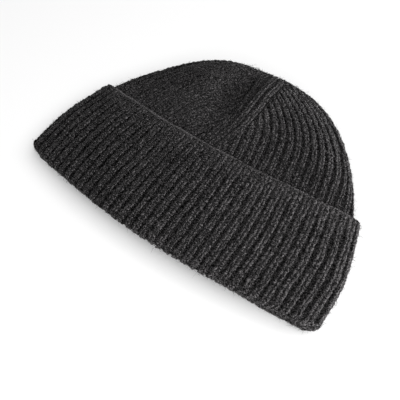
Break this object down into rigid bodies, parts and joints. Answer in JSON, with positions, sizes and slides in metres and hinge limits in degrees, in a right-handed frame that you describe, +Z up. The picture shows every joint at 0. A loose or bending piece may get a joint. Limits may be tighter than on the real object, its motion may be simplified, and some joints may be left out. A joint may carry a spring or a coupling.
{
  "type": "knit hat with turned-up cuff",
  "caption": "Ribbed wool hat with a deep turned-up cuff and a darted dome crown, lying on its back with its head opening facing forward.",
  "frame": {"origin": "middle of the underside of the hat as it lies on its back, at the bottom centre of its bounding box", "axes": "+X along the rim to the hat's right side as seen from above, +Y from the rim to the crown's tip, +Z up from the surface it lies on"},
  "size_m": [0.22, 0.1328, 0.0415],
  "materials": {
    "cuff_wool": "matte ribbed wool knit with a soft fuzz",
    "crown_wool": "matte ribbed wool knit with a soft fuzz"
  },
  "bodies": {
    "root": {"cuff": "cuff_wool", "crown": "crown_wool"}
  },
  "joints": []
}
